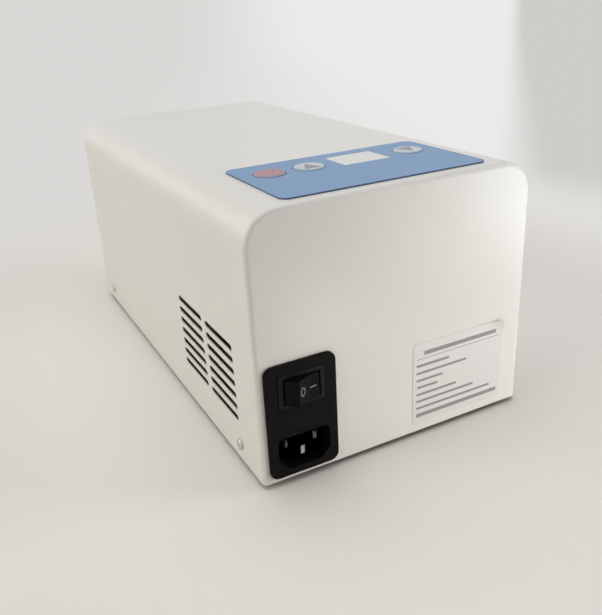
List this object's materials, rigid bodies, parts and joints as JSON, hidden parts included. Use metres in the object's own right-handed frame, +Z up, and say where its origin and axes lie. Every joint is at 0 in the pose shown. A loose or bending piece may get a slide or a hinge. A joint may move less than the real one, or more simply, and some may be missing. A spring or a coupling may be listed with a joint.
{
  "type": "dental lab light curing unit",
  "caption": "Bench-top light curing box with a pull-out drawer, lamps under a reflector, a membrane keypad and a switched mains inlet.",
  "frame": {"origin": "on the bench, under the middle of the case", "axes": "+Z up, +Y towards the rear wall with the mains inlet, +X to the side at the right when the drawer is faced"},
  "size_m": [0.1396, 0.2967, 0.1217],
  "materials": {
    "white_paint": "fine powder coat, semi-gloss",
    "floor_sheet": "zinc-plated sheet, matt",
    "polished_sheet": "bright rolled aluminium",
    "black_rubber": "matt moulded rubber",
    "seal_foam": "closed-cell foam",
    "steel_screw": "nickel-plated steel",
    "chrome_bar": "polished",
    "brass_contact": "drawn brass, nickel-plated tips",
    "black_plastic": "fine-grained moulding",
    "rocker_plastic": "glossy moulding",
    "lamp_plastic": "white moulding",
    "lamp_glass": "white phosphor behind glass",
    "fuse_glass": "clear",
    "mirror_plate": "clear",
    "blue_film": "satin polyester film",
    "red_key": "satin",
    "pale_key": "satin",
    "pane": "milky window",
    "silver_label": "satin silver film",
    "board": "solder mask",
    "component": "electronic parts",
    "glide_plastic": "acetal"
  },
  "bodies": {
    "case": {"housing_cover": "white_paint", "base_plate": "floor_sheet", "front_panel": "white_paint", "bulkhead": "floor_sheet", "foot_front_left": "black_rubber", "foot_front_right": "black_rubber", "foot_rear_left": "black_rubber", "foot_rear_right": "black_rubber", "foot_screws": "steel_screw", "cover_screws": "steel_screw", "lamp_socket_1": "lamp_plastic", "lamp_socket_2": "lamp_plastic", "lamp_socket_3": "lamp_plastic", "lamp_socket_4": "lamp_plastic", "lamp_base_1": "lamp_plastic", "lamp_base_2": "lamp_plastic", "lamp_base_3": "lamp_plastic", "lamp_base_4": "lamp_plastic", "lamp_glass_1": "lamp_glass", "lamp_glass_2": "lamp_glass", "lamp_glass_3": "lamp_glass", "lamp_glass_4": "lamp_glass", "lamp_clips": "polished_sheet", "lamp_reflector": "polished_sheet", "drawer_runner_left": "floor_sheet", "drawer_runner_right": "floor_sheet", "ballast_board": "board", "ballast_transformers": "component", "ballast_chokes": "component", "ballast_capacitors": "component", "board_standoffs": "brass_contact", "wire_headers": "lamp_plastic", "control_board": "board", "display_module": "component", "key_switches": "black_plastic", "control_standoffs": "brass_contact", "inner_screws": "steel_screw", "keypad_overlay": "blue_film", "display_window": "pane", "rating_label": "silver_label", "inlet_body": "black_plastic", "inlet_pins": "brass_contact", "switch_body": "black_plastic", "earth_stud": "brass_contact"},
    "drawer": {"drawer_box": "polished_sheet", "drawer_front": "white_paint", "drawer_handle": "chrome_bar", "handle_screws": "steel_screw", "light_seal": "seal_foam", "tray_mirror": "mirror_plate", "drawer_glide_left": "glide_plastic", "drawer_glide_right": "glide_plastic"},
    "switch_rocker": {"rocker": "rocker_plastic"},
    "fuse_carrier": {"fuse_drawer": "black_plastic", "fuse": "fuse_glass"},
    "start_button": {"key_start": "red_key"},
    "down_button": {"key_down": "pale_key"},
    "up_button": {"key_up": "pale_key"}
  },
  "joints": [
    {"name": "drawer_slide", "type": "slide", "parent": "case", "child": "drawer", "axis": [0, -1, 0], "range_m": [0, 0.12]},
    {"name": "switch_rock", "type": "hinge", "parent": "case", "child": "switch_rocker", "pos_m": [0.0492, 0.1276, 0.0448], "axis": [0, 0, 1], "range_deg": [-36, 0]},
    {"name": "fuse_drawer_slide", "type": "slide", "parent": "case", "child": "fuse_carrier", "axis": [0, 1, 0], "range_m": [0, 0.018]},
    {"name": "key_start_press", "type": "slide", "parent": "case", "child": "start_button", "axis": [0, 0, -1], "range_m": [0, 0.0004], "stiffness_N_per_m": 800},
    {"name": "key_down_press", "type": "slide", "parent": "case", "child": "down_button", "axis": [0, 0, -1], "range_m": [0, 0.0004], "stiffness_N_per_m": 800},
    {"name": "key_up_press", "type": "slide", "parent": "case", "child": "up_button", "axis": [0, 0, -1], "range_m": [0, 0.0004], "stiffness_N_per_m": 800}
  ]
}
